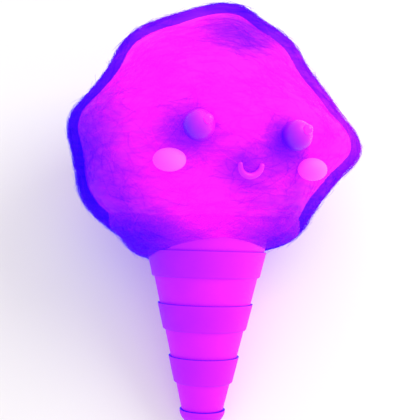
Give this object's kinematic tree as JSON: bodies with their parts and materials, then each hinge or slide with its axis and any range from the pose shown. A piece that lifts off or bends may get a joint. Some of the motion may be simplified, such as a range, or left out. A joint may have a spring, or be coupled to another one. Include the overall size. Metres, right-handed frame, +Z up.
{
  "type": "cotton candy",
  "caption": "Head of spun sugar floss with a pressed-in candy face, on a banded, round-tipped paper cone, lying on its back.",
  "frame": {"origin": "middle of the floss's flat rest spot, on the surface that the part lies on", "axes": "+Z up, the way the face looks; +Y from the cone's tip towards the top of the floss; +X to the face's right as seen from above with the cone's tip nearest"},
  "size_m": [0.1801, 0.2471, 0.1512],
  "materials": {
    "floss": "fluffy spun sugar, magenta with violet-blue hollows and fringe",
    "cone_paper": "smooth magenta paper",
    "band_paper": "smooth violet-magenta paper",
    "eye_candy": "polished violet sugar candy",
    "glint_candy": "polished bright pink sugar candy",
    "cheek_candy": "soft matte pink sugar candy",
    "smile_candy": "satin magenta sugar candy"
  },
  "bodies": {
    "root": {"floss": "floss", "cone": "cone_paper", "band_1": "band_paper", "band_2": "band_paper", "band_3": "band_paper", "tip_cap": "band_paper", "eye_left": "eye_candy", "eye_right": "eye_candy", "glint_left": "glint_candy", "glint_right": "glint_candy", "cheek_left": "cheek_candy", "cheek_right": "cheek_candy", "smile": "smile_candy"}
  },
  "joints": []
}
